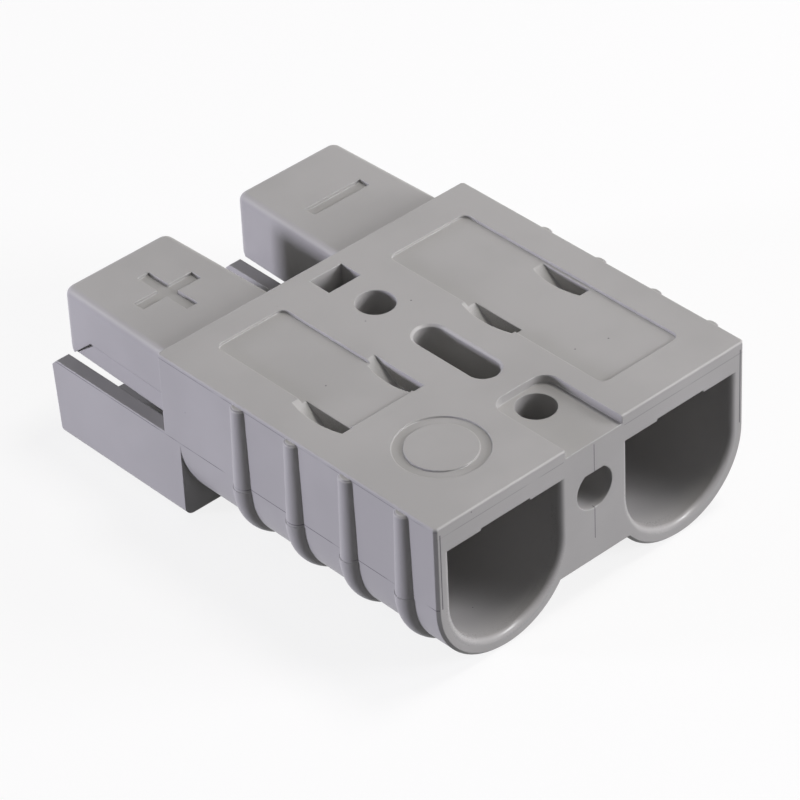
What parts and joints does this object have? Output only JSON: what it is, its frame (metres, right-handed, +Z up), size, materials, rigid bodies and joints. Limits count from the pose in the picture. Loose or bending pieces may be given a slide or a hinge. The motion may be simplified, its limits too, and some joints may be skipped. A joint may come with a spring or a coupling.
{
  "type": "genderless power connector",
  "caption": "Two-pole genderless power connector housing with wire sockets, keyed tongues and sleeves, screw mounting holes and leaf springs.",
  "frame": {"origin": "middle of the footprint, on the surface that the connector lies on", "axes": "+Y from the wire end towards the mating end, +Z up with the marked face on top, +X towards the negative pole"},
  "size_m": [0.0364, 0.0484, 0.016],
  "materials": {
    "housing_plastic": "satin grey moulded polycarbonate, neutral, slightly glossy on the edges",
    "spring_steel": "plain rolled stainless spring strip"
  },
  "bodies": {
    "root": {"housing": "housing_plastic", "positive_leaf_spring": "spring_steel", "negative_leaf_spring": "spring_steel"}
  },
  "joints": []
}
